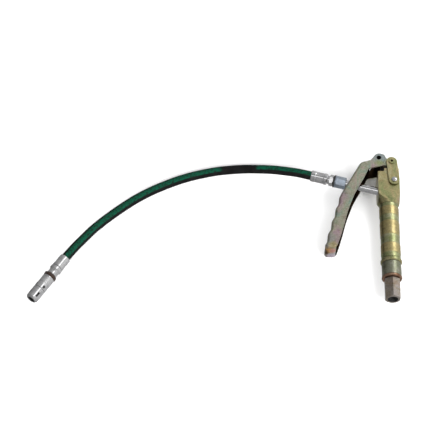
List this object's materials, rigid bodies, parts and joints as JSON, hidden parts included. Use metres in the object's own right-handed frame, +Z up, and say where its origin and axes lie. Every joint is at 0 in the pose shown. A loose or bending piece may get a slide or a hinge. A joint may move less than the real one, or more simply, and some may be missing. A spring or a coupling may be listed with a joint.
{
  "type": "grease gun",
  "caption": "Hand-lever grease gun control handle with hex inlet, squeeze lever on link plates, whip hose and hydraulic coupler",
  "frame": {"origin": "centre of the base of the handle's box, on the surface it lies on; the hose is left out", "axes": "+Y along the handle from the hex inlet to the lever head, +Z up from the surface, +X away from the lever"},
  "size_m": [0.4845, 0.2288, 0.0375],
  "materials": {
    "yellow_zinc": "iridescent yellow zinc plate, satin",
    "olive_zinc": "iridescent olive to pink zinc plate, satin",
    "pink_zinc": "iridescent pinkish-grey zinc plate",
    "copper_tone": "copper-coloured washer, satin",
    "bright_steel": "bright zinc-plated steel",
    "dark_steel": "hardened steel, dark satin",
    "black_rubber": "black hose rubber, satin",
    "brown_rubber": "dark brown, satin",
    "seal_red": "red-brown polyurethane seal"
  },
  "bodies": {
    "handle": {"head_block": "yellow_zinc", "grip_tube": "yellow_zinc", "grip_end_ring": "yellow_zinc", "inlet_collar": "olive_zinc", "inlet_hex": "pink_zinc", "inlet_seal_washer": "copper_tone", "outlet_pipe": "bright_steel", "outlet_adaptor": "bright_steel", "front_insert": "bright_steel", "front_ferrule": "bright_steel", "rear_ferrule": "bright_steel", "rear_insert": "bright_steel", "coupler_body": "bright_steel", "coupler_nose": "bright_steel", "link_screw_front": "bright_steel", "link_screw_back": "bright_steel", "inlet_check_spring": "bright_steel", "outlet_check_spring": "bright_steel", "plunger_return_spring": "bright_steel", "coupler_spring": "bright_steel", "pump_liner": "dark_steel", "inlet_valve_seat": "dark_steel", "hose": "black_rubber", "adaptor_seal_ring": "black_rubber", "coupler_lock_ring": "brown_rubber", "plunger_packing": "seal_red"},
    "link": {"link_plate_front": "yellow_zinc", "link_plate_back": "yellow_zinc", "link_top_pin": "olive_zinc"},
    "lever": {"lever": "olive_zinc", "drive_pin": "olive_zinc"},
    "plunger": {"plunger": "bright_steel"},
    "inlet_ball": {"inlet_check_ball": "bright_steel"},
    "outlet_ball": {"outlet_check_ball": "bright_steel"},
    "jaw_set": {"coupler_jaw_1": "dark_steel", "coupler_jaw_2": "dark_steel", "coupler_jaw_3": "dark_steel", "coupler_jaw_4": "dark_steel", "coupler_seal": "seal_red"}
  },
  "joints": [
    {"name": "link_swing", "type": "hinge", "parent": "handle", "child": "link", "pos_m": [0.04302, 0.06535, 0.01875], "axis": [0, 0, 1], "range_deg": [0, 1]},
    {"name": "lever_squeeze", "type": "hinge", "parent": "link", "child": "lever", "pos_m": [0.04072, 0.09485, 0.01875], "axis": [0, 0, 1], "range_deg": [0, 16.7], "stiffness_Nm_per_rad": 1.5, "springref_deg": -5.73},
    {"name": "plunger_slide", "type": "slide", "parent": "handle", "child": "plunger", "axis": [0, -1, 0], "range_m": [0, 0.00285], "deforming": ["plunger_return_spring"]},
    {"name": "inlet_ball_lift", "type": "slide", "parent": "handle", "child": "inlet_ball", "axis": [0, 1, 0], "range_m": [0, 0.0012], "stiffness_N_per_m": 150, "springref_m": -0.001, "deforming": ["inlet_check_spring"]},
    {"name": "outlet_ball_lift", "type": "slide", "parent": "handle", "child": "outlet_ball", "axis": [-0.9681, 0.2504, 0], "range_m": [0, 0.0012], "stiffness_N_per_m": 150, "springref_m": -0.001, "deforming": ["outlet_check_spring"]},
    {"name": "jaw_slide", "type": "slide", "parent": "handle", "child": "jaw_set", "axis": [0.524, 0.8517, 0], "range_m": [0, 0.0015], "stiffness_N_per_m": 2000, "springref_m": -0.001, "deforming": ["coupler_spring"]}
  ],
  "couplings": [
    {"joint": "link_swing", "follows": "lever_squeeze", "ratio": 0.058},
    {"joint": "plunger_slide", "follows": "lever_squeeze", "m_per_rad": 0.00954}
  ]
}
